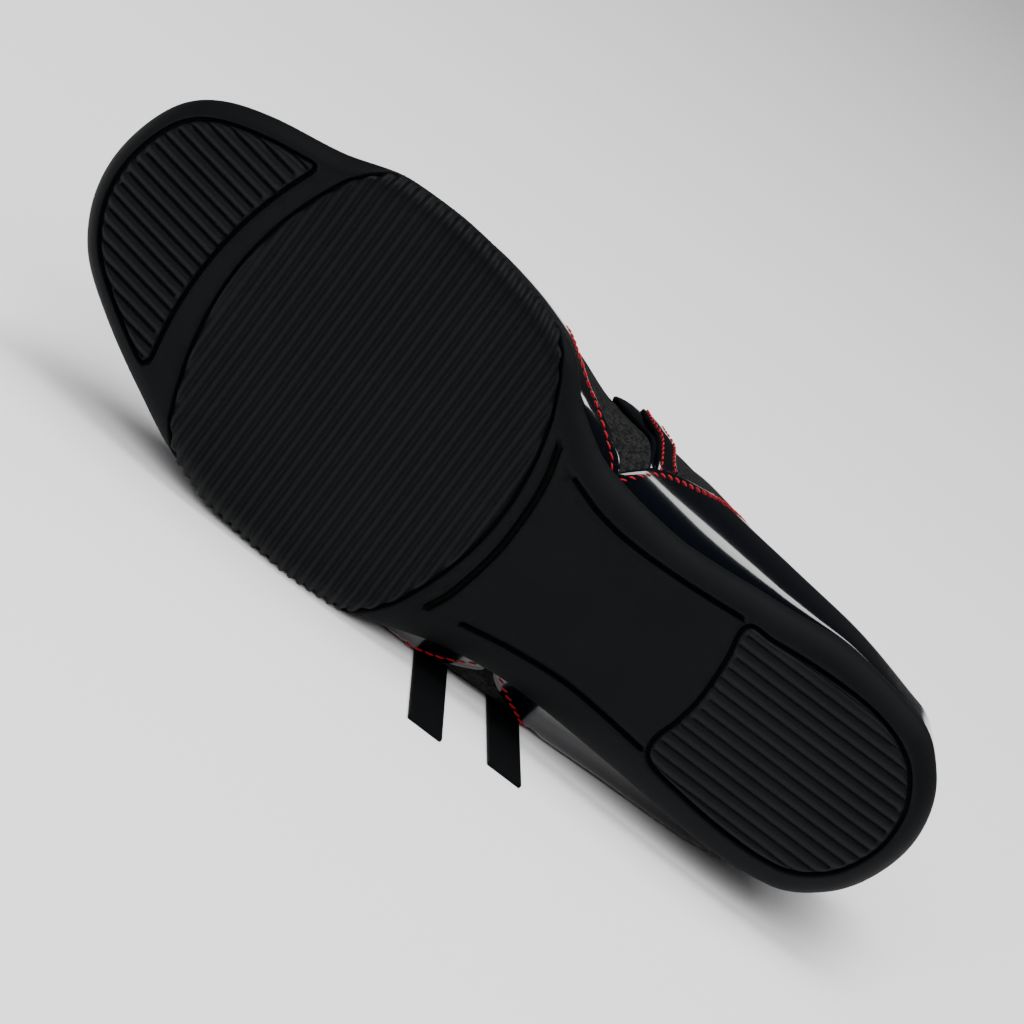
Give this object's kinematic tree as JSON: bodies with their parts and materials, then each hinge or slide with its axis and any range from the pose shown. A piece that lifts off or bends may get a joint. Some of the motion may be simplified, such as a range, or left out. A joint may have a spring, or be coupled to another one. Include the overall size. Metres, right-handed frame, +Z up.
{
  "type": "athletic shoe",
  "caption": "Low patent athletic shoe for the right foot, empty, lying on its outer side, with a ribbed rubber cup sole and slack hook-and-loop straps.",
  "frame": {"origin": "centre of the footprint, on the floor that the shoe lies on", "axes": "+Z up from the floor; the shoe lies on its outer side with its sole towards -Y, its toe towards -X and its collar towards +Y"},
  "size_m": [0.2794, 0.1326, 0.1043],
  "materials": {
    "outsole_rubber": "moulded black rubber, matt",
    "tread_rubber": "moulded black rubber, matt, ribbed",
    "patent": "black patent, high gloss",
    "weave": "black woven textile, matt",
    "sock_liner": "black textile on foam, matt",
    "red_thread": "red polyester thread, satin"
  },
  "bodies": {
    "root": {"outsole": "outsole_rubber", "toe_pad": "tread_rubber", "forefoot_pad": "tread_rubber", "heel_pad": "tread_rubber", "insole": "sock_liner", "upper": "patent", "tongue": "weave", "strap_front": "patent", "strap_rear": "patent"}
  },
  "joints": []
}
